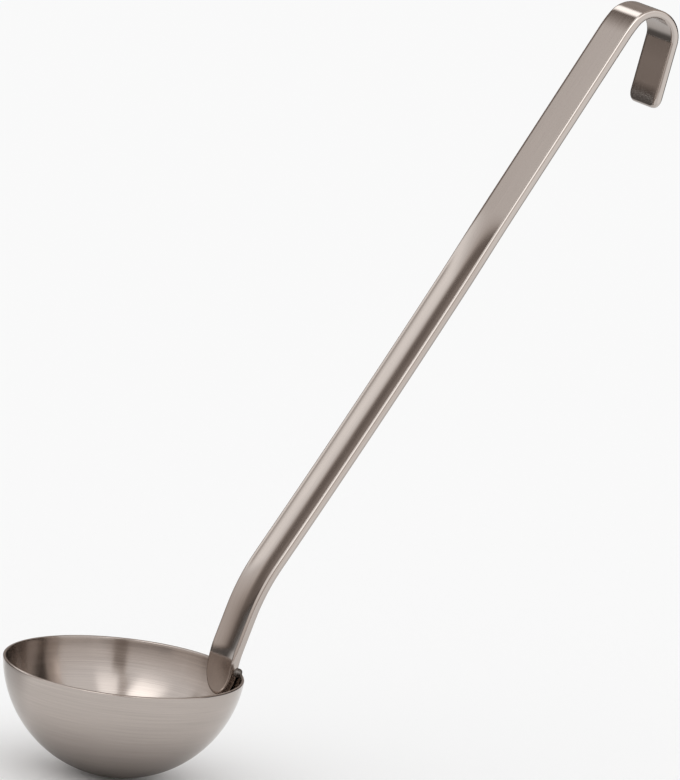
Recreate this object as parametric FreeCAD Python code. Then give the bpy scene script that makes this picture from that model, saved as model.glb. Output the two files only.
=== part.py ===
import FreeCAD, Part
import math
import os

# Soup ladle: a pressed bowl of sheet steel, a handle bent from one flat steel strip, and the welds that
# join them. Millimetres and degrees. +Z is up with the bowl's rim level, the handle leans towards +X, and
# Y = 0 is the plane of symmetry. The origin is on the axis of the hook, where a rail passes through it.

# Bowl
bowl_rim_radius = 50.0
bowl_depth = 46.0
bowl_wall = 1.3
bowl_rim_rounding = 0.5

# Strip that the handle is bent from
strip_width = 22.2
strip_thickness = 3.5
strip_edge_radius = 1.2

# Tab, the round tongue at the strip's lower end, seated on the bowl's inner wall
tab_depth = 12.3
tab_edge_rounding = 0.8
lap_gap = 0.15

# Neck, from the rim to the handle's bend
rim_bend_height = 0.5
rim_bend_radius = 40.0
neck_height = 34.6
neck_lean = 16.2
neck_bend_radius = 90.0

# Handle above the neck: a dished grip that bows a little towards its front, then a flat stretch
handle_length = 282.9
handle_lean = 31.7
grip_turn = -1.7
flat_length = 96.0
run_out_length = 36.0
run_out_step_shares = (0.0, 0.25, 0.5, 0.75, 1.0)

# Hook at the top, and the wide bend at the end of the flat stretch that leads into it
hook_lead_radius = 54.0
hook_lead_turn = 8.0
hook_inner_radius = 9.0
hook_turn = 151.8
tail_length = 28.1
tail_corner_radius = 4.5

# Welds
spot_weld_diameter = 5.0
spot_weld_spacing = 8.0
spot_weld_height = 3.0
spot_weld_depth_share = 0.5
rim_weld_radius = 2.0
rim_weld_drop = 0.3

# Length by which cutting shapes pass beyond what they cut
overrun = 5.0

across = FreeCAD.Vector(0, 1, 0)
half_width = strip_width / 2
half_thickness = strip_thickness / 2

# The bowl is a cap of a sphere whose centre is above the rim, and the rim plane is z = 0 while it is built
bowl_outer_radius = (bowl_rim_radius**2 + bowl_depth**2) / (2 * bowl_depth)
bowl_inner_radius = bowl_outer_radius - bowl_wall
sphere_height = bowl_outer_radius - bowl_depth
sphere_centre = FreeCAD.Vector(0, 0, sphere_height)

# The strip's lower stretch is dished to the curve of the bowl's inner wall
seat_radius = bowl_inner_radius - lap_gap
dish_radius = seat_radius - half_thickness
edge_line_radius = math.sqrt(dish_radius**2 - half_width**2)
dish_depth = dish_radius - edge_line_radius
tab_half_width = seat_radius * half_width / dish_radius


def along(lean):
    """Direction up the strip where it leans by an angle from the vertical towards +X."""
    angle = math.radians(lean)
    return FreeCAD.Vector(math.sin(angle), 0, math.cos(angle))


def front(lean):
    """Direction out of the strip's front face."""
    angle = math.radians(lean)
    return FreeCAD.Vector(-math.cos(angle), 0, math.sin(angle))


def flat_corner():
    """Half outline of the flat strip, as (across, proud) points from the front face round to the back."""
    inner = half_width - strip_edge_radius
    level = half_thickness - strip_edge_radius
    diagonal = strip_edge_radius * math.sqrt(0.5)
    return [
        (inner, half_thickness),
        (inner + diagonal, level + diagonal),
        (half_width, level),
        (half_width, -level),
        (inner + diagonal, -level - diagonal),
        (inner, -half_thickness),
    ]


def dished_corner(radius):
    """The same half outline where the strip is dished to a radius, with its edges level with the path."""
    spread = math.asin(half_width / radius)
    rise = radius * math.cos(spread)
    inner_radius = radius - half_thickness
    outer_radius = radius + half_thickness

    def polar(distance, angle):
        return distance * math.sin(angle), rise - distance * math.cos(angle)

    def rounding(distance, face_radius):
        angle = spread - math.asin(strip_edge_radius / distance)
        on_side = math.sqrt(distance**2 - strip_edge_radius**2)
        centre = polar(distance, angle)
        face_point = polar(face_radius, angle)
        side_point = polar(on_side, spread)
        reach = [face_point[i] + side_point[i] - 2 * centre[i] for i in range(2)]
        share = strip_edge_radius / math.hypot(*reach)
        middle = (centre[0] + reach[0] * share, centre[1] + reach[1] * share)
        return face_point, middle, side_point

    front_points = rounding(inner_radius + strip_edge_radius, inner_radius)
    back_points = rounding(outer_radius - strip_edge_radius, outer_radius)
    return [*front_points, *reversed(back_points)]


def strip_section(spot, lean, dish):
    """Closed outline of the strip at a spot of its path, dished by a depth."""
    if dish > 0:
        radius = (half_width**2 + dish**2) / (2 * dish)
        corner = dished_corner(radius)
    else:
        corner = flat_corner()

    def place(point, side):
        return spot + across * (side * point[0]) + front(lean) * point[1]

    right = [place(point, -1) for point in corner]
    left = [place(point, 1) for point in corner]

    def face_edge(start, end, proud):
        if dish > 0:
            return Part.Arc(start, place((0, proud - dish), 1), end).toShape()
        return Part.LineSegment(start, end).toShape()

    edges = [
        face_edge(left[0], right[0], half_thickness),
        Part.Arc(right[0], right[1], right[2]).toShape(),
        Part.LineSegment(right[2], right[3]).toShape(),
        Part.Arc(right[3], right[4], right[5]).toShape(),
        face_edge(right[5], left[5], -half_thickness),
        Part.Arc(left[5], left[4], left[3]).toShape(),
        Part.LineSegment(left[3], left[2]).toShape(),
        Part.Arc(left[2], left[1], left[0]).toShape(),
    ]
    return Part.Wire(edges)


def straight(spot, lean, dish, length):
    """Straight stretch of the strip, and the spot where it ends."""
    face = Part.Face(strip_section(spot, lean, dish))
    step = along(lean) * length
    return face.extrude(step), spot + step


def bend(spot, lean, dish, radius, turn):
    """Stretch bent about an axis behind it, or in front if radius and turn are negative, and its end."""
    face = Part.Face(strip_section(spot, lean, dish))
    centre = spot - front(lean) * radius
    end = centre + front(lean + turn) * radius
    return face.revolve(centre, across, turn), end


def run_out(spot, lean):
    """Stretch in which the dish runs out into the flat strip."""
    wires = []
    for share in run_out_step_shares:
        fade = share**2 * (3 - 2 * share)
        level = spot + along(lean) * (run_out_length * share)
        wires.append(strip_section(level, lean, dish_depth * (1 - fade)))
    return Part.makeLoft(wires, True, False), spot + along(lean) * run_out_length


def tail(spot, lean):
    """Straight end of the hook: a plate with two round corners, its edges softened like the strip's."""
    shoulder = tail_length - tail_corner_radius
    inner = half_width - tail_corner_radius
    bulge = tail_corner_radius * math.sqrt(0.5)

    def place(reach, side):
        return spot + along(lean) * reach + across * side - front(lean) * half_thickness

    left_corner = Part.Arc(
        place(shoulder, half_width),
        place(shoulder + bulge, inner + bulge),
        place(tail_length, inner),
    )
    right_corner = Part.Arc(
        place(tail_length, -inner),
        place(shoulder + bulge, -inner - bulge),
        place(shoulder, -half_width),
    )
    outline = Part.Wire(
        [
            Part.LineSegment(place(0, half_width), place(shoulder, half_width)).toShape(),
            left_corner.toShape(),
            Part.LineSegment(place(tail_length, inner), place(tail_length, -inner)).toShape(),
            right_corner.toShape(),
            Part.LineSegment(place(shoulder, -half_width), place(0, -half_width)).toShape(),
            Part.LineSegment(place(0, -half_width), place(0, half_width)).toShape(),
        ]
    )
    plate = Part.Face(outline).extrude(front(lean) * strip_thickness)
    rounded = []
    for edge in plate.Edges:
        middle = edge.CenterOfMass - spot
        on_face = abs(middle.dot(front(lean))) > half_thickness / 2
        if on_face and middle.dot(along(lean)) > strip_edge_radius:
            rounded.append(edge)
    return plate.makeFillet(strip_edge_radius, rounded)


def tab(spot, lean):
    """Round tongue on the bowl's inner wall, turned down from the neck about the sphere's centre."""
    tip_angle = math.degrees(math.asin((tab_depth + sphere_height + overrun) / dish_radius))
    face = Part.Face(strip_section(spot, lean, dish_depth))
    band = face.revolve(sphere_centre, across, tip_angle - lean)
    reach = tab_half_width + overrun
    round_height = tab_half_width - tab_depth
    top = FreeCAD.Vector(0, 0, rim_bend_height + overrun)
    left_edge = FreeCAD.Vector(0, tab_half_width, round_height)
    right_edge = FreeCAD.Vector(0, -tab_half_width, round_height)
    left_out = FreeCAD.Vector(0, reach, round_height)
    right_out = FreeCAD.Vector(0, -reach, round_height)
    outline = Part.Wire(
        [
            Part.Arc(left_edge, FreeCAD.Vector(0, 0, -tab_depth), right_edge).toShape(),
            Part.LineSegment(right_edge, right_out).toShape(),
            Part.LineSegment(right_out, top - across * reach).toShape(),
            Part.LineSegment(top - across * reach, top + across * reach).toShape(),
            Part.LineSegment(top + across * reach, left_out).toShape(),
            Part.LineSegment(left_out, left_edge).toShape(),
        ]
    )
    tongue = Part.Face(outline).extrude(FreeCAD.Vector(bowl_rim_radius + overrun, 0, 0))
    return band.common(tongue)


def strip_path():
    """Stretches of the strip from the tab to the hook's end, and the axis of the hook."""
    foot_lean = math.degrees(math.asin((sphere_height - rim_bend_height) / dish_radius))
    foot = sphere_centre - front(foot_lean) * edge_line_radius
    rim_turn = neck_lean - foot_lean
    neck_turn = handle_lean - neck_lean
    neck_setback = neck_bend_radius * math.tan(math.radians(neck_turn / 2))
    stretches = [tab(foot, foot_lean)]

    stretch, spot = bend(foot, foot_lean, dish_depth, rim_bend_radius, rim_turn)
    stretches.append(stretch)
    neck_length = (neck_height - spot.z) / math.cos(math.radians(neck_lean)) - neck_setback
    stretch, spot = straight(spot, neck_lean, dish_depth, neck_length)
    stretches.append(stretch)
    stretch, spot = bend(spot, neck_lean, dish_depth, neck_bend_radius, neck_turn)
    stretches.append(stretch)
    dished_length = handle_length - neck_setback - run_out_length - flat_length
    grip_radius = dished_length / math.radians(grip_turn)
    stretch, spot = bend(spot, handle_lean, dish_depth, grip_radius, grip_turn)
    stretches.append(stretch)
    top_lean = handle_lean + grip_turn
    stretch, spot = run_out(spot, top_lean)
    stretches.append(stretch)
    lead_length = hook_lead_radius * math.radians(hook_lead_turn)
    stretch, spot = straight(spot, top_lean, 0, flat_length - lead_length)
    stretches.append(stretch)
    stretch, spot = bend(spot, top_lean, 0, hook_lead_radius, hook_lead_turn)
    stretches.append(stretch)

    hook_lean = top_lean + hook_lead_turn
    hook_radius = hook_inner_radius + half_thickness
    hook_axis = spot - front(hook_lean) * hook_radius
    stretch, spot = bend(spot, hook_lean, 0, hook_radius, hook_turn)
    stretches.append(stretch)
    stretches.append(tail(spot, hook_lean + hook_turn))
    return stretches, hook_axis


def make_bowl():
    """Cap of a spherical shell, open upwards, with its rim softened."""
    outside = Part.makeSphere(bowl_outer_radius, sphere_centre)
    shell = outside.cut(Part.makeSphere(bowl_inner_radius, sphere_centre))
    reach = bowl_outer_radius + overrun
    corner = FreeCAD.Vector(-reach, -reach, 0)
    lid = Part.makeBox(2 * reach, 2 * reach, sphere_height + reach, corner)
    cap = shell.cut(lid).Solids[0]
    rims = [edge for edge in cap.Edges if edge.BoundBox.ZMin > -bowl_rim_rounding]
    return cap.makeFillet(bowl_rim_rounding, rims)


def make_spot_welds():
    """Nuggets that reach from the middle of the tab into the bowl's wall."""
    drop = math.degrees(math.asin((spot_weld_height + sphere_height) / seat_radius))
    spread = math.degrees(math.asin(spot_weld_spacing / 2 / seat_radius))
    into_tab = strip_thickness * spot_weld_depth_share
    into_bowl = bowl_wall * spot_weld_depth_share
    nuggets = []
    for side in (-1, 1):
        turn = FreeCAD.Rotation(FreeCAD.Vector(0, 0, 1), side * spread)
        outward = turn.multVec(front(drop) * -1)
        start = sphere_centre + outward * (seat_radius - into_tab)
        length = into_tab + lap_gap + into_bowl
        nuggets.append(Part.makeCylinder(spot_weld_diameter / 2, length, start, outward))
    return nuggets


def make_rim_welds(bowl, handle):
    """One bead on each side of the strip, in the corner that it makes with the bowl's rim."""
    reach = Part.makeSphere(bowl_outer_radius, sphere_centre)
    beads = []
    for side in (-1, 1):
        wall_x = math.sqrt(seat_radius**2 - tab_half_width**2 - sphere_height**2)
        centre = FreeCAD.Vector(wall_x, side * tab_half_width, -rim_weld_drop)
        ball = Part.makeSphere(rim_weld_radius, centre)
        inner = half_width - strip_edge_radius
        low = FreeCAD.Vector(0, inner if side > 0 else -inner - half_width, -bowl_depth)
        beside = Part.makeBox(2 * bowl_rim_radius, half_width, 2 * bowl_depth, low)
        bead = ball.common(reach).common(beside).cut(bowl).cut(handle)
        beads.append(max(bead.Solids, key=lambda solid: solid.Volume))
    return beads


def round_tab(handle):
    """Softens the sharp front edge round the tab's end."""
    ends = []
    for edge in handle.Edges:
        box = edge.BoundBox
        middle = edge.CenterOfMass
        gap = middle.distanceToPoint(sphere_centre)
        if box.ZMax < tab_half_width - tab_depth + tab_edge_rounding and gap < dish_radius:
            ends.append(edge)
    return handle.makeFillet(tab_edge_rounding, ends)


def write(name, solids, hook_axis):
    """Moves a node's solids to the hook's axis and writes its file."""
    shape = solids[0] if len(solids) == 1 else Part.makeCompound(solids)
    shape = shape.copy()
    shape.translate(hook_axis * -1)
    shape.exportStep("parts/" + name + ".step")
    print(name, len(shape.Solids), "solids", round(shape.Volume), "mm3, valid", shape.isValid())


os.makedirs("parts", exist_ok=True)
stretches, hook_axis = strip_path()
handle = round_tab(stretches[0].multiFuse(stretches[1:]).removeSplitter().Solids[0])
spot_welds = make_spot_welds()
bowl = make_bowl()
rim_welds = make_rim_welds(bowl, handle)
for nugget in spot_welds:
    handle = handle.cut(nugget)
    bowl = bowl.cut(nugget)
write("bowl", bowl.Solids, hook_axis)
write("handle", handle.Solids, hook_axis)
write("spot_welds", spot_welds, hook_axis)
write("rim_welds", rim_welds, hook_axis)
print("hook axis is", [round(value, 2) for value in hook_axis], "from the middle of the rim")
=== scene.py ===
# %% [markdown]
# # A soup ladle in satin steel
#
# The ladle is a bowl pressed from sheet steel and a handle bent from one flat strip, with the welds that
# hold them together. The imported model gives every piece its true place, so the lesson loads it first. All
# that follows is built around it, in metres, in the same frame: +Z is up, and the hook's axis passes
# through the origin.

# %% Load the frame
import math

import bmesh
import bpy
from mathutils import Matrix, Vector


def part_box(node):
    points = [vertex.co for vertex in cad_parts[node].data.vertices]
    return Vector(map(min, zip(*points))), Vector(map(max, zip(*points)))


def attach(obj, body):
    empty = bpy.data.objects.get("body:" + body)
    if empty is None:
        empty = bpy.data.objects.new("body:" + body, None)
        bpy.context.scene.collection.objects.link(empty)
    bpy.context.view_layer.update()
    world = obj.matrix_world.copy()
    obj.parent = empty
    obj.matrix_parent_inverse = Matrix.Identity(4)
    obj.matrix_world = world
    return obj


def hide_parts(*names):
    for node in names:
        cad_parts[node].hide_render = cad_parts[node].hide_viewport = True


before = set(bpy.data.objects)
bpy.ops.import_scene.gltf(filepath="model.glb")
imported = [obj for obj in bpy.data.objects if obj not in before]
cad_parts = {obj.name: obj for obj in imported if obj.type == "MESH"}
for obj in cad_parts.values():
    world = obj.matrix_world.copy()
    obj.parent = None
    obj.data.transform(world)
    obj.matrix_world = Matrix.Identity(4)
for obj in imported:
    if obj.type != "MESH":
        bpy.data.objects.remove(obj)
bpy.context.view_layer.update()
mm = 0.001

# %% [markdown]
# ## From bmesh to piece
#
# Each piece is shaped in a bmesh and then handed to one object that stays at the origin, so that its place
# is in its vertices alone. Smooth faces let a few polygons read as one curved sheet, and the object rides
# on the ladle's only body. The same helper hides the imported node that the new piece stands for, and gives
# the piece its finish.


# %% Helper that finishes a piece
def finish_piece(shape, name, finish):
    bmesh.ops.recalc_face_normals(shape, faces=shape.faces[:])
    for face in shape.faces:
        face.smooth = True
    mesh = bpy.data.meshes.new(name)
    shape.to_mesh(mesh)
    shape.free()
    mesh.materials.append(finish)
    piece = bpy.data.objects.new(name + "_satin", mesh)
    bpy.context.scene.collection.objects.link(piece)
    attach(piece, "root")
    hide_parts(name)
    print(piece.name, "has", len(mesh.polygons), "faces")


# %% [markdown]
# ## Satin steel
#
# Stainless steel that was brushed on a belt has fine parallel scratches. They spread each reflection across
# the grain and leave it sharp along it. One way to show that is to draw the scratches alone, but from a
# step away they are smaller than a pixel. So the shader's own anisotropy spreads the light, and stretched
# noise adds the scratches that still show close by: a little in the colour, a little in the roughness, and
# a shallow bump. Cloudy noise stands for the uneven pressure of the belt and for handling.


# %% Helpers for node trees
noise_middle = (0.3, 0.7)


def add_node(tree, kind, **settings):
    node = tree.nodes.new(kind)
    for name, value in settings.items():
        setattr(node, name, value)
    return node


def noise_on(tree, vector, scale, detail):
    noise = add_node(tree, "ShaderNodeTexNoise")
    noise.inputs["Scale"].default_value = scale
    noise.inputs["Detail"].default_value = detail
    tree.links.new(vector, noise.inputs["Vector"])
    return noise.outputs["Fac"]


def spread_to(tree, value, low, high):
    """Stretches the middle of a noise to a range of values."""
    spread = add_node(tree, "ShaderNodeMapRange")
    spread.inputs["From Min"].default_value = noise_middle[0]
    spread.inputs["From Max"].default_value = noise_middle[1]
    spread.inputs["To Min"].default_value = low
    spread.inputs["To Max"].default_value = high
    tree.links.new(value, spread.inputs["Value"])
    return spread.outputs["Result"]


def add_up(tree, first, second):
    total = add_node(tree, "ShaderNodeMath", operation="ADD")
    tree.links.new(first, total.inputs[0])
    tree.links.new(second, total.inputs[1])
    return total.outputs["Value"]


# %% Helper for steel
steel_dark = (0.44, 0.391, 0.36)
steel_light = (0.52, 0.463, 0.425)
steel_polished = (0.66, 0.595, 0.55)
across_the_grain = 0.25
scratch_scale = 1.0
scratch_detail = 3.0
scratch_roughness = 0.02
scratch_strength = 0.1
scratch_depth = 0.005 * mm
cloud_scale = 45.0
cloud_detail = 4.0
cloud_roughness = 0.015


def satin_steel(name, grain_vector, roughness, anisotropy, polish=None):
    """Steel whose scratches follow the vector that grain_vector lays out, brighter where polish says so."""
    steel = bpy.data.materials.new(name)
    steel.use_nodes = True
    tree = steel.node_tree
    shader = tree.nodes["Principled BSDF"]
    shader.inputs["Metallic"].default_value = 1.0
    shader.inputs["Anisotropic"].default_value = anisotropy
    shader.inputs["Anisotropic Rotation"].default_value = across_the_grain

    scratches = noise_on(tree, grain_vector(tree), scratch_scale, scratch_detail)
    place = add_node(tree, "ShaderNodeTexCoord").outputs["Object"]
    clouds = noise_on(tree, place, cloud_scale, cloud_detail)
    tint = add_node(tree, "ShaderNodeMix", data_type="RGBA")
    tint.inputs["A"].default_value = (*steel_dark, 1.0)
    tint.inputs["B"].default_value = (*steel_light, 1.0)
    tree.links.new(spread_to(tree, scratches, 0.0, 1.0), tint.inputs["Factor"])
    colour = tint.outputs["Result"]
    if polish:
        polished = add_node(tree, "ShaderNodeMix", data_type="RGBA")
        polished.inputs["B"].default_value = (*steel_polished, 1.0)
        tree.links.new(polish(tree), polished.inputs["Factor"])
        tree.links.new(colour, polished.inputs["A"])
        colour = polished.outputs["Result"]
    tree.links.new(colour, shader.inputs["Base Color"])

    rough_low = roughness - scratch_roughness
    rough_high = roughness + scratch_roughness
    scratch_part = spread_to(tree, scratches, rough_low, rough_high)
    cloud_part = spread_to(tree, clouds, -cloud_roughness, cloud_roughness)
    tree.links.new(add_up(tree, scratch_part, cloud_part), shader.inputs["Roughness"])

    bump = add_node(tree, "ShaderNodeBump")
    bump.inputs["Strength"].default_value = scratch_strength
    bump.inputs["Distance"].default_value = scratch_depth
    tree.links.new(scratches, bump.inputs["Height"])
    tree.links.new(bump.outputs["Normal"], shader.inputs["Normal"])

    tangent = add_node(tree, "ShaderNodeTangent", direction_type="UV_MAP", uv_map="grain")
    tree.links.new(tangent.outputs["Tangent"], shader.inputs["Tangent"])
    print(name, "has", len(tree.nodes), "nodes")
    return steel


# %% [markdown]
# ## The grain's two directions
#
# The strip was brushed along its length, so its scratches are long in the first direction of its own map
# and narrow in the second. The bowl was brushed as it turned, so its scratches go round it. A map wrapped
# round a bowl has a seam, and noise would break there. So only the height up the wall comes from the map,
# and the way round comes from the place in space, which has no seam.


# %% Grain vectors
lengthwise_scale = (35.0, 5000.0, 1.0)
circling_scale = (30.0, 30.0, 4000.0)


def lengthwise_grain(tree):
    grain = add_node(tree, "ShaderNodeUVMap", uv_map="grain")
    stretch = add_node(tree, "ShaderNodeMapping")
    stretch.inputs["Scale"].default_value = lengthwise_scale
    tree.links.new(grain.outputs["UV"], stretch.inputs["Vector"])
    return stretch.outputs["Vector"]


def circling_grain(tree):
    grain = add_node(tree, "ShaderNodeUVMap", uv_map="grain")
    split = add_node(tree, "ShaderNodeSeparateXYZ")
    tree.links.new(grain.outputs["UV"], split.inputs["Vector"])
    place = add_node(tree, "ShaderNodeSeparateXYZ")
    tree.links.new(add_node(tree, "ShaderNodeTexCoord").outputs["Object"], place.inputs["Vector"])
    joined = add_node(tree, "ShaderNodeCombineXYZ")
    tree.links.new(place.outputs["X"], joined.inputs["X"])
    tree.links.new(place.outputs["Y"], joined.inputs["Y"])
    tree.links.new(split.outputs["Y"], joined.inputs["Z"])
    stretch = add_node(tree, "ShaderNodeMapping")
    stretch.inputs["Scale"].default_value = circling_scale
    tree.links.new(joined.outputs["Vector"], stretch.inputs["Vector"])
    return stretch.outputs["Vector"]


# %% [markdown]
# The strip's rounded front edges are rubbed bright by tumbling and by use, its sides a little less, and its
# back not at all, and the polish fades out towards the foot, which leaves the neck darker. The strip's map
# tells where: the second direction counts outwards from the middle of the front, over the edge and on to
# the back, and the first counts up from the tab's end.

# %% Polished edges and the two finishes
polish_start = 9.8 * mm
polish_end = 13.8 * mm
polish_stops = (
    # share of the way from start to end, share of polish
    (0.0, 0.0),
    (0.17, 1.0),
    (0.47, 1.0),
    (0.7, 0.6),
    (0.9, 0.6),
    (1.0, 0.0),
)
foot_start = 25.0 * mm
foot_end = 75.0 * mm
bowl_roughness = 0.2
bowl_anisotropy = 0.7
handle_roughness = 0.13
handle_anisotropy = 0.2


def share_between(tree, value, start, end):
    share = add_node(tree, "ShaderNodeMapRange")
    share.inputs["From Min"].default_value = start
    share.inputs["From Max"].default_value = end
    tree.links.new(value, share.inputs["Value"])
    return share.outputs["Result"]


def edge_polish(tree):
    grain = add_node(tree, "ShaderNodeUVMap", uv_map="grain")
    split = add_node(tree, "ShaderNodeSeparateXYZ")
    tree.links.new(grain.outputs["UV"], split.inputs["Vector"])
    reach = add_node(tree, "ShaderNodeMath", operation="ABSOLUTE")
    tree.links.new(split.outputs["Y"], reach.inputs[0])
    ramp = add_node(tree, "ShaderNodeValToRGB")
    stops = ramp.color_ramp.elements
    for place, share in polish_stops[1:-1]:
        stops.new(place)
    for stop, (place, share) in zip(stops, polish_stops):
        stop.position = place
        stop.color = (share, share, share, 1.0)
    over_edge = share_between(tree, reach.outputs["Value"], polish_start, polish_end)
    above_foot = share_between(tree, split.outputs["X"], foot_start, foot_end)
    both = add_node(tree, "ShaderNodeMath", operation="MULTIPLY")
    tree.links.new(over_edge, ramp.inputs["Fac"])
    tree.links.new(ramp.outputs["Color"], both.inputs[0])
    tree.links.new(above_foot, both.inputs[1])
    return both.outputs["Value"]


bowl_satin = satin_steel("brushed_bowl", circling_grain, bowl_roughness, bowl_anisotropy)
handle_satin = satin_steel(
    "brushed_handle", lengthwise_grain, handle_roughness, handle_anisotropy, edge_polish
)

# %% [markdown]
# ## The bowl
#
# The bowl is a cap of a sphere with a wall just over a millimetre thick and a rounded rim. A sphere could
# be cut and hollowed, but a real bowl is turned, and so is this one. One vertex at the bottom pole is spun
# up the outside, over the rim and down the inside. That line is then spun once round the bowl's upright
# axis.

# %% Bowl profile
bowl_low, bowl_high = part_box("bowl")
rim_centre = Vector(((bowl_low.x + bowl_high.x) / 2, 0, bowl_high.z))
bowl_depth = bowl_high.z - bowl_low.z
bowl_rim_radius = 50.0 * mm
bowl_wall = 1.3 * mm
outer_radius = (bowl_rim_radius**2 + bowl_depth**2) / (2 * bowl_depth)
inner_radius = outer_radius - bowl_wall
sphere_height = outer_radius - bowl_depth
sphere_centre = rim_centre + Vector((0, 0, sphere_height))
rim_round = bowl_wall / 2
wall_steps = 72
rim_steps = 10
across = Vector((0, 1, 0))
upright = Vector((0, 0, 1))


def turn_about(shape, moved, centre, axis, degrees, steps, merge=False):
    spun = bmesh.ops.spin(
        shape,
        geom=moved,
        cent=centre,
        axis=axis,
        angle=math.radians(degrees),
        steps=steps,
        use_merge=merge,
    )
    return [part for part in spun["geom_last"] if isinstance(part, bmesh.types.BMVert)]


rim_angle = math.degrees(math.asin((sphere_height + rim_round) / (outer_radius - rim_round)))
wall_turn = 90 - rim_angle
rim_middle = sphere_centre + Vector(
    (math.cos(math.radians(rim_angle)), 0, -math.sin(math.radians(rim_angle)))
) * (outer_radius - rim_round)

bowl_shape = bmesh.new()
pole = bowl_shape.verts.new(sphere_centre - Vector((0, 0, outer_radius)))
outside_top = turn_about(bowl_shape, [pole], sphere_centre, across, -wall_turn, wall_steps)
inside_top = turn_about(bowl_shape, outside_top, rim_middle, across, -180, rim_steps)
turn_about(bowl_shape, inside_top, sphere_centre, across, wall_turn, wall_steps)
print("rim centre, mm:", [round(value / mm, 2) for value in rim_centre])

# %% [markdown]
# The profile goes once round, the two poles close, and each corner of each face gets its place on the grain
# map: the distance round the bowl and the distance up the wall. A face that crosses the end of the circle
# takes its angles from its own middle, so it is not stretched back across the map.

# %% Bowl turned and mapped
bowl_steps = 192
pole_merge = 0.01 * mm
bowl_line = bowl_shape.verts[:] + bowl_shape.edges[:]
turn_about(bowl_shape, bowl_line, sphere_centre, upright, 360, bowl_steps, True)
bmesh.ops.remove_doubles(bowl_shape, verts=bowl_shape.verts[:], dist=pole_merge)


def map_bowl(shape):
    grain = shape.loops.layers.uv.new("grain")
    for face in shape.faces:
        middle = face.calc_center_median() - sphere_centre
        face_angle = math.atan2(middle.y, middle.x)
        for corner in face.loops:
            spot = corner.vert.co - sphere_centre
            turn = math.atan2(spot.y, spot.x) - face_angle
            turn = math.atan2(math.sin(turn), math.cos(turn))
            rise = math.acos(max(-1, min(1, -spot.z / spot.length)))
            corner[grain].uv = ((face_angle + turn) * bowl_rim_radius, rise * spot.length)


map_bowl(bowl_shape)
finish_piece(bowl_shape, "bowl", bowl_satin)

# %% [markdown]
# ## The handle's blank
#
# A maker starts from flat strip: cuts it to length, rounds the foot to a tongue and the tail's two corners,
# softens the edges, and only then presses and bends it. The lesson does the same. The blank is drawn flat,
# with its length along X, its width along Y and its thickness along Z, and one vertex draws the whole
# outline.

# %% Handle sizes
strip_width = 22.2 * mm
strip_thickness = 3.5 * mm
strip_edge_radius = 1.2 * mm
half_width = strip_width / 2
half_thickness = strip_thickness / 2
lap_gap = 0.15 * mm
dish_radius = inner_radius - lap_gap - half_thickness
edge_line_radius = math.sqrt(dish_radius**2 - half_width**2)
dish_depth = dish_radius - edge_line_radius

tab_depth = 12.3 * mm
rim_bend_height = 0.5 * mm
rim_bend_radius = 40.0 * mm
neck_height = 34.6 * mm
neck_lean = 16.2
neck_bend_radius = 90.0 * mm
handle_length = 282.9 * mm
handle_lean = 31.7
grip_turn = -1.7
flat_length = 96.0 * mm
run_out_length = 36.0 * mm
hook_lead_radius = 54.0 * mm
hook_lead_turn = 8.0
hook_radius = 9.0 * mm + half_thickness
hook_turn = 151.8
tail_length = 28.1 * mm
tail_corner = 4.5 * mm


def along(lean):
    return Vector((math.sin(math.radians(lean)), 0, math.cos(math.radians(lean))))


def front(lean):
    return Vector((-math.cos(math.radians(lean)), 0, math.sin(math.radians(lean))))


# %% [markdown]
# The strip's path is a chain of stretches, each with a length and a turn: the tab follows the bowl's wall,
# the rim bend brings it over the edge, and so on to the hook's tail. A walk along the chain gives the place
# and the lean at any distance, and it should bring the hook's axis to the origin.

# %% Handle path
tip_lean = math.degrees(math.asin((tab_depth + sphere_height) / dish_radius))
foot_lean = math.degrees(math.asin((sphere_height - rim_bend_height) / dish_radius))
foot = sphere_centre - front(foot_lean) * edge_line_radius
tip = sphere_centre - front(tip_lean) * edge_line_radius
neck_turn = handle_lean - neck_lean
neck_setback = neck_bend_radius * math.tan(math.radians(neck_turn / 2))
rim_turn = neck_lean - foot_lean
neck_start = foot - front(foot_lean) * rim_bend_radius + front(neck_lean) * rim_bend_radius
neck_rise = neck_height - (neck_start.z - rim_centre.z)
neck_length = neck_rise / math.cos(math.radians(neck_lean)) - neck_setback
dished_length = handle_length - neck_setback - run_out_length - flat_length
lead_length = hook_lead_radius * math.radians(hook_lead_turn)

stretches = {
    # length, turn in degrees, number of cuts across the strip
    "tab": (edge_line_radius * math.radians(tip_lean - foot_lean), foot_lean - tip_lean, 10),
    "rim_bend": (rim_bend_radius * math.radians(rim_turn), rim_turn, 8),
    "neck": (neck_length, 0, 3),
    "neck_bend": (neck_bend_radius * math.radians(neck_turn), neck_turn, 10),
    "grip": (dished_length, grip_turn, 16),
    "run_out": (run_out_length, 0, 24),
    "flat": (flat_length - lead_length, 0, 8),
    "hook_lead": (lead_length, hook_lead_turn, 6),
    "hook": (hook_radius * math.radians(hook_turn), hook_turn, 48),
    "tail": (tail_length, 0, 3),
}
blank_length = sum(length for length, turn, cuts in stretches.values())


def on_path(distance):
    """The place on the strip's path and the lean there."""
    spot, lean = tip, tip_lean
    for length, turn, cuts in stretches.values():
        share = min(distance / length, 1)
        if turn:
            radius = length / math.radians(turn)
            spot = spot - front(lean) * radius + front(lean + turn * share) * radius
        else:
            spot = spot + along(lean) * (length * share)
        lean = lean + turn * share
        distance = distance - length
        if distance <= 0:
            break
    return spot, lean


hook_end, hook_lean = on_path(blank_length - tail_length)
print("hook axis, mm:", [round(value / mm, 3) for value in hook_end - front(hook_lean) * hook_radius])

# %% [markdown]
# The outline is drawn by one vertex, spun round each corner and pushed along each edge. It is filled, given
# its thickness, and its edges are rounded all the way round, as on the real strip.

# %% Blank
tail_steps = 8
tongue_steps = 28
edge_segments = 5
outline_merge = 0.001 * mm
handle_shape = bmesh.new()


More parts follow.
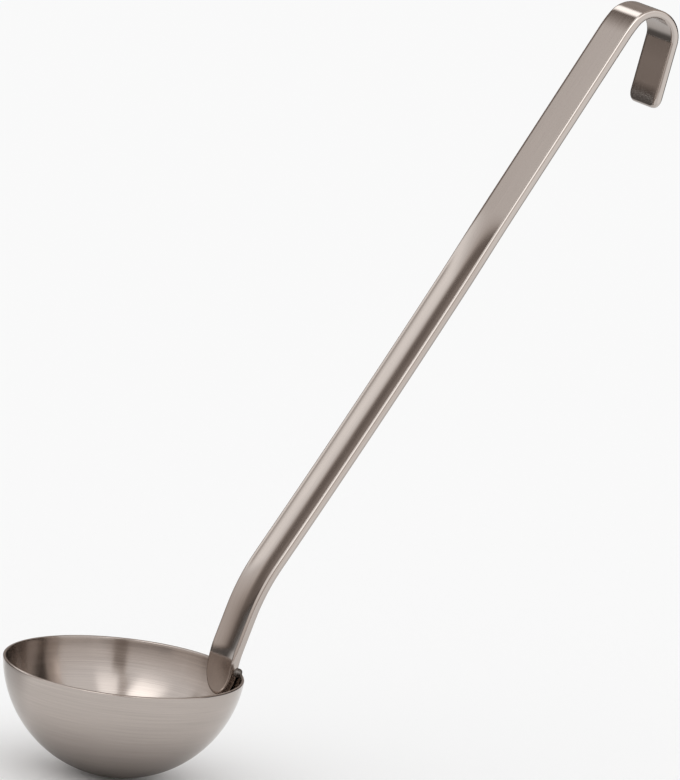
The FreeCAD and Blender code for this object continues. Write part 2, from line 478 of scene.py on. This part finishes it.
def push(shape, moved, step):
    pushed = bmesh.ops.extrude_vert_indiv(shape, verts=moved)["verts"]
    bmesh.ops.translate(shape, verts=pushed, vec=step)
    return pushed


straight_length = blank_length - tail_corner - half_width
start = handle_shape.verts.new((half_width, half_width, -half_thickness))
pen = push(handle_shape, [start], (straight_length, 0, 0))
corner_centre = (blank_length - tail_corner, half_width - tail_corner, -half_thickness)
pen = turn_about(handle_shape, pen, corner_centre, upright, -90, tail_steps)
pen = push(handle_shape, pen, (0, 2 * tail_corner - strip_width, 0))
corner_centre = (blank_length - tail_corner, tail_corner - half_width, -half_thickness)
pen = turn_about(handle_shape, pen, corner_centre, upright, -90, tail_steps)
pen = push(handle_shape, pen, (-straight_length, 0, 0))
turn_about(handle_shape, pen, (half_width, 0, -half_thickness), upright, -180, tongue_steps)
bmesh.ops.remove_doubles(handle_shape, verts=handle_shape.verts[:], dist=outline_merge)
bmesh.ops.contextual_create(handle_shape, geom=handle_shape.edges[:])

thick = bmesh.ops.extrude_face_region(handle_shape, geom=handle_shape.faces[:])
lifted = [part for part in thick["geom"] if isinstance(part, bmesh.types.BMVert)]
bmesh.ops.translate(handle_shape, verts=lifted, vec=(0, 0, strip_thickness))
bmesh.ops.recalc_face_normals(handle_shape, faces=handle_shape.faces[:])
rims = []
for edge in handle_shape.edges:
    first, second = edge.verts
    if abs(first.co.z - second.co.z) < half_thickness:
        rims.append(edge)
bmesh.ops.bevel(
    handle_shape,
    geom=rims,
    offset=strip_edge_radius,
    offset_type="OFFSET",
    segments=edge_segments,
    profile=0.5,
    affect="EDGES",
    material=-1,
)
print("blank is", round(blank_length / mm, 1), "mm long and has", len(handle_shape.faces), "faces")

# %% [markdown]
# A flat face cannot bend without edges across it. Cutting planes add them where the path turns, and others
# along the strip let it take its dish. The map of the grain is laid on while the blank is still flat: its
# first direction is the strip's length, and the second goes across the front and on round the edges to the
# back.


# %% Cuts and map
cut_merge = 0.0001 * mm


def cut_across(shape, place, direction):
    everything = shape.verts[:] + shape.edges[:] + shape.faces[:]
    bmesh.ops.bisect_plane(shape, geom=everything, plane_co=place, plane_no=direction, dist=cut_merge)


travelled = 0
for length, turn, cuts in stretches.values():
    for cut in range(cuts):
        cut_across(handle_shape, (travelled + length * (cut + 1) / cuts, 0, 0), (1, 0, 0))
    travelled += length

face_half_width = half_width - strip_edge_radius
columns = 16
for column in range(columns + 1):
    cut_across(handle_shape, (0, face_half_width * (2 * column / columns - 1), 0), (0, 1, 0))


def map_strip(shape):
    grain = shape.loops.layers.uv.new("grain")
    for face in shape.faces:
        side = math.copysign(1, face.calc_center_median().y)
        for corner in face.loops:
            spot = corner.vert.co
            reach = abs(spot.y) + half_thickness - spot.z
            if spot.z < 0:
                reach = strip_width + half_thickness - abs(spot.y) - spot.z
            corner[grain].uv = (spot.x, side * reach)


map_strip(handle_shape)
print("cut blank has", len(handle_shape.faces), "faces")

# %% [markdown]
# Pressing and bending move each vertex of the blank. The dish bends the width to an arc whose edges stay
# level, and it runs out into the flat top by a smooth step. The path then takes the section to its place
# and lean.

# %% Press and bend
run_out_start = sum(stretches[name][0] for name in ("tab", "rim_bend", "neck", "neck_bend", "grip"))
least_dish = 0.001 * mm


def dish_at(distance):
    share = max(0, min(1, (distance - run_out_start) / run_out_length))
    return dish_depth * (1 - share**2 * (3 - 2 * share))


def press(distance, side, proud):
    depth = dish_at(distance)
    if depth < least_dish:
        return side, proud
    radius = (half_width**2 + depth**2) / (2 * depth)
    spread = math.asin(half_width / radius)
    angle = side / half_width * spread
    reach = radius - proud
    return reach * math.sin(angle), radius * math.cos(spread) - reach * math.cos(angle)


for vert in handle_shape.verts:
    spot, lean = on_path(vert.co.x)
    side, proud = press(*vert.co)
    vert.co = spot + across * side + front(lean) * proud
finish_piece(handle_shape, "handle", handle_satin)

# %% [markdown]
# ## Welds
#
# Two nuggets hold the tab to the wall from inside the lap, where nothing shows, and two small beads close
# the corners between the strip's edges and the rim. Their imported shapes are right, so they stay, with a
# finish of their own: steel that was ground by hand, with short scratches every way. Its dark tint is
# partly the heat's tint and partly painted shade for the dark corners where the beads meet the rim.


# %% Weld finish
# The weld's two tints are its heat tint, darkened further as painted shade for the corners between the
# strip and the rim.
heat_tint_and_shade_dark = (0.14, 0.125, 0.115)
heat_tint_and_shade_light = (0.24, 0.22, 0.205)
weld_roughness = (0.3, 0.5)
scuff_scale = 2500.0
scuff_detail = 5.0
scuff_strength = 0.4
scuff_depth = 0.03 * mm


def ground_steel(name):
    steel = bpy.data.materials.new(name)
    steel.use_nodes = True
    tree = steel.node_tree
    shader = tree.nodes["Principled BSDF"]
    shader.inputs["Metallic"].default_value = 1.0
    place = add_node(tree, "ShaderNodeTexCoord").outputs["Object"]
    scuffs = noise_on(tree, place, scuff_scale, scuff_detail)
    tint = add_node(tree, "ShaderNodeMix", data_type="RGBA")
    tint.inputs["A"].default_value = (*heat_tint_and_shade_dark, 1.0)
    tint.inputs["B"].default_value = (*heat_tint_and_shade_light, 1.0)
    tree.links.new(spread_to(tree, scuffs, 0.0, 1.0), tint.inputs["Factor"])
    tree.links.new(tint.outputs["Result"], shader.inputs["Base Color"])
    tree.links.new(spread_to(tree, scuffs, *weld_roughness), shader.inputs["Roughness"])
    bump = add_node(tree, "ShaderNodeBump")
    bump.inputs["Strength"].default_value = scuff_strength
    bump.inputs["Distance"].default_value = scuff_depth
    tree.links.new(scuffs, bump.inputs["Height"])
    tree.links.new(bump.outputs["Normal"], shader.inputs["Normal"])
    return steel


weld_ground = ground_steel("ground_weld")
for name in ("spot_welds", "rim_welds"):
    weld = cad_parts[name]
    weld.data.materials.clear()
    weld.data.materials.append(weld_ground)
    print(name, "has", len(weld.data.polygons), "faces")

# %% [markdown]
# ## Floor and tent
#
# Satin steel has little colour of its own and shows what stands round it. The ladle stands in a white tent,
# so the world is plain white at a strength of 1, and the floor under it is a wide pale plane, level with
# the bowl's lowest point. Stage pieces like the floor aren't part of the ladle, and one helper sets them
# all.


# %% Floor and world
def set_on_stage(shape, name, paint):
    mesh = bpy.data.meshes.new(name)
    shape.to_mesh(mesh)
    shape.free()
    mesh.materials.append(paint)
    prop = bpy.data.objects.new(name, mesh)
    bpy.context.scene.collection.objects.link(prop)
    return prop


floor_half_width = 12.0
floor_white = (0.95, 0.95, 0.95)
tent_white = (1.0, 1.0, 1.0)

floor_paint = bpy.data.materials.new("floor_paint")
floor_paint.use_nodes = True
floor_shader = floor_paint.node_tree.nodes["Principled BSDF"]
floor_shader.inputs["Base Color"].default_value = (*floor_white, 1.0)
floor_shader.inputs["Roughness"].default_value = 1.0
floor_shader.inputs["Specular IOR Level"].default_value = 0.0

floor_shape = bmesh.new()
bmesh.ops.create_grid(floor_shape, x_segments=1, y_segments=1, size=floor_half_width)
bmesh.ops.translate(floor_shape, verts=floor_shape.verts[:], vec=(0, 0, bowl_low.z))
floor = set_on_stage(floor_shape, "floor", floor_paint)

world = bpy.data.worlds.new("white_tent")
world.use_nodes = True
world.node_tree.nodes["Background"].inputs["Color"].default_value = (*tent_white, 1.0)
bpy.context.scene.world = world
print(floor.name, "is", 2 * floor_half_width, "m wide, at", round(bowl_low.z / mm, 1), "mm")

# %% [markdown]
# ## Cloth round the ladle
#
# A white tent alone leaves steel flat and grey. A photographer hangs dark cloth where the steel should go
# dark and bright panels where it should shine. Here they are soft patches painted on a wide ball of cloth
# round the ladle. Each patch spans some azimuths and elevations, fades over a number of degrees at its
# edges, and has a level: 1 is white, less is darker cloth, and more is a lit panel. Only reflections see
# the ball, and the floor is lit by the tent alone.

# %% Patches
cloth_level = 1.02
cloth_patches = (
    # name, azimuths, elevations, softness of the sides, softness of top and bottom, slant, level
    ("low cloth", (-180, 180), (-20, 17), 1, 26, 0.0, 0.66),
    ("low side cloth", (-100, -40), (-20, 16), 12, 8, 0.0, 0.84),
    ("ceiling", (-180, 180), (64, 100), 1, 10, 0.0, 0.4),
    ("photographer", (-119.5, -105.5), (-20, 31), 4, 12, 0.0, 0.29),
    ("front panel", (-186, -147), (35, 60), 8, 16, -0.7, 2.5),
    ("near panel", (-112, -86), (33, 60), 6, 20, 0.0, 1.75),
    ("stand", (-126, -114), (34, 60), 5, 8, 0.0, 0.65),
    ("side edge", (135, 152), (24, 42), 4, 6, 0.0, 0.15),
    ("low back cloth", (-24, 124), (-20, 9), 36, 13, 0.0, 0.2),
    ("left panel", (112, 137), (20.5, 34), 10, 7, 0.5, 1.36),
    ("back cloth", (-24, 113.3), (-20, 60), 8, 10, 0.3, 0.18),
    ("high back cloth", (-24, 84), (16, 60), 12, 8, 0.0, 0.37),
    ("hook panel", (83, 98), (26, 40), 7, 6, 0.0, 2.2),
    ("low right cloth", (40, 101), (4, 15), 8, 6, 0.0, 0.3),
    ("dark corner", (-32, 30), (-20, 26), 8, 8, 0.0, 0.02),
    ("horizon", (-24, 150), (-20, 1.5), 24, 4, 0.0, 0.08),
)
slant_elevation = 20


def soft_step(value):
    value = max(0, min(1, value))
    return value**2 * (3 - 2 * value)


def cover(value, span, softness):
    """How far a value is inside a span, from 0 to 1, with soft ends."""
    return soft_step((value - span[0]) / softness + 0.5) * soft_step((span[1] - value) / softness + 0.5)


def level_towards(azimuth, elevation):
    """The level of the cloth that hangs in a direction, with the later patches over the earlier ones."""
    level = cloth_level
    for name, azimuths, elevations, side_softness, end_softness, slant, patch_level in cloth_patches:
        middle = sum(azimuths) / 2
        turn = azimuth + slant * (elevation - slant_elevation) - middle
        turn = (turn + 180) % 360 - 180
        half_span = (azimuths[1] - azimuths[0]) / 2
        side_share = cover(turn, (-half_span, half_span), side_softness)
        share = side_share * cover(elevation, elevations, end_softness)
        level += (patch_level - level) * share
    return level


print(len(cloth_patches), "patches")


# %% [markdown]
# The ball is one mesh, and each of its vertices holds the colour of the cloth in that direction. Dark cloth
# is a little warm, and lit panels are plain white.

# %% Ball of cloth
stage_centre = Vector((-0.1, 0, -0.12))
cloth_distance = 40.0
cloth_columns = 240
cloth_rows = 120
dark_tint = Vector((1.21, 1.0, 0.88))
white_tint = Vector((1.0, 1.0, 1.0))

cloth_shape = bmesh.new()
bmesh.ops.create_uvsphere(
    cloth_shape, u_segments=cloth_columns, v_segments=cloth_rows, radius=cloth_distance
)
cloth_colour = cloth_shape.verts.layers.float_color.new("cloth")
for vert in cloth_shape.verts:
    azimuth = math.degrees(math.atan2(vert.co.y, vert.co.x))
    elevation = math.degrees(math.asin(max(-1, min(1, vert.co.z / cloth_distance))))
    level = level_towards(azimuth, elevation)
    colour = dark_tint.lerp(white_tint, min(1, level)) * level
    vert[cloth_colour] = (*colour, 1.0)
bmesh.ops.translate(cloth_shape, verts=cloth_shape.verts[:], vec=stage_centre)


def cloth_paint(name):
    """Cloth that shows the colour held by its vertices, and is as clear as their alpha says."""
    paint = bpy.data.materials.new(name)
    paint.use_nodes = True
    paint.cycles.emission_sampling = "NONE"
    tree = paint.node_tree
    tree.nodes.clear()
    painted = add_node(tree, "ShaderNodeAttribute", attribute_name="cloth")
    shown = add_node(tree, "ShaderNodeEmission")
    clear = add_node(tree, "ShaderNodeBsdfTransparent")
    blend = add_node(tree, "ShaderNodeMixShader")
    output = add_node(tree, "ShaderNodeOutputMaterial")
    tree.links.new(painted.outputs["Color"], shown.inputs["Color"])
    tree.links.new(painted.outputs["Alpha"], blend.inputs["Fac"])
    tree.links.new(clear.outputs["BSDF"], blend.inputs[1])
    tree.links.new(shown.outputs["Emission"], blend.inputs[2])
    tree.links.new(blend.outputs["Shader"], output.inputs["Surface"])
    return paint


def hang_cloth(shape, name):
    cloth = set_on_stage(shape, name, cloth_paint(name + "_paint"))
    cloth.visible_camera = False
    cloth.visible_diffuse = False
    cloth.visible_shadow = False
    print(name, "has", len(cloth.data.vertices), "painted vertices")


hang_cloth(cloth_shape, "cloth")

# %% [markdown]
# The bowl's underside and the hook's inside look down at the floor. A sheet just above it, which only
# reflections see, shades the floor under the bowl and darkens it behind the ladle, below the dark cloth. It
# is a line of vertices pushed outwards and spun once round, and its alpha says how much of the floor it
# hides.

# %% Shade on the floor
shade_rise = 0.2 * mm
near_step = 5 * mm
middle_step = 0.1
ring_count = 16
near_radii = [near_step * ring for ring in range(ring_count)]
middle_radii = [middle_step * ring for ring in range(1, ring_count)]
far_radii = [2.0, 3.0, 6.0, floor_half_width]
shade_radii = near_radii + middle_radii + far_radii
shade_steps = 120
centre_merge = 0.01 * mm
shade_colour = Vector((0.036, 0.03, 0.026))
under_bowl_radius = 70 * mm
under_bowl_power = 1.7
behind_shades = (
    # azimuths, radii between which the shade sets in, its share beyond them
    ((-24, 150), (0.1, 1.5), 0.87),
    ((100, 150), (0.03, 0.33), 0.9),
)
behind_softness = 24


def shade_alpha(spot):
    reach = math.hypot(spot.x, spot.y)
    under = max(0, 1 - reach / under_bowl_radius) ** under_bowl_power
    azimuth = math.degrees(math.atan2(spot.y, spot.x))
    shares = [under]
    for azimuths, radii, share in behind_shades:
        outwards = max(0, min(1, (reach - radii[0]) / (radii[1] - radii[0])))
        shares.append(share * cover(azimuth, azimuths, behind_softness) * outwards)
    return max(shares)


shade_middle = Vector((0, 0, 0))
shade_shape = bmesh.new()
pen = [shade_shape.verts.new(shade_middle)]
for inner_ring, outer_ring in zip(shade_radii, shade_radii[1:]):
    pen = push(shade_shape, pen, (outer_ring - inner_ring, 0, 0))
shade_line = shade_shape.verts[:] + shade_shape.edges[:]
turn_about(shade_shape, shade_line, shade_middle, upright, 360, shade_steps, True)
bmesh.ops.remove_doubles(shade_shape, verts=shade_shape.verts[:], dist=centre_merge)
shade_layer = shade_shape.verts.layers.float_color.new("cloth")
for vert in shade_shape.verts:
    vert[shade_layer] = (*shade_colour, shade_alpha(vert.co))
shade_place = (rim_centre.x, 0, bowl_low.z + shade_rise)
bmesh.ops.translate(shade_shape, verts=shade_shape.verts[:], vec=shade_place)
hang_cloth(shade_shape, "shade")

# %% [markdown]
# ## Camera
#
# The photograph seems to have been taken from a little above the rim, from one side of the handle's plane
# and with the camera turned a few degrees about its own axis. The lens is long: a focal length of 7000
# pixels on a frame 780 pixels high, and Blender measures the sensor along that longer side.

# %% Camera
camera_azimuth = math.radians(28.8)
camera_elevation = math.radians(11.3)
camera_roll = math.radians(-6.9)
camera_distance = 2879.0 * mm
frame_centre_right = 88.9 * mm
frame_centre_up = 113.5 * mm
focal_pixels = 7000
frame_height_pixels = 780
sensor_size = 36.0
view_limit = 100.0

back = Vector(
    (
        -math.sin(camera_azimuth) * math.cos(camera_elevation),
        -math.cos(camera_azimuth) * math.cos(camera_elevation),
        math.sin(camera_elevation),
    )
)
level_right = Vector((math.cos(camera_azimuth), -math.sin(camera_azimuth), 0))
level_up = back.cross(level_right)
right = level_right * math.cos(camera_roll) - level_up * math.sin(camera_roll)
up = level_right * math.sin(camera_roll) + level_up * math.cos(camera_roll)
eye = rim_centre + back * camera_distance + right * frame_centre_right + up * frame_centre_up

camera_data = bpy.data.cameras.new("camera")
camera_data.sensor_width = sensor_size
camera_data.lens = focal_pixels / frame_height_pixels * sensor_size
camera_data.clip_end = view_limit
camera = bpy.data.objects.new("camera", camera_data)
camera.matrix_world = Matrix.Translation(eye) @ Matrix((right, up, back)).transposed().to_4x4()
bpy.context.scene.collection.objects.link(camera)
bpy.context.scene.camera = camera
bpy.context.scene.view_settings.view_transform = "Standard"
print("camera at", [round(value, 3) for value in eye])
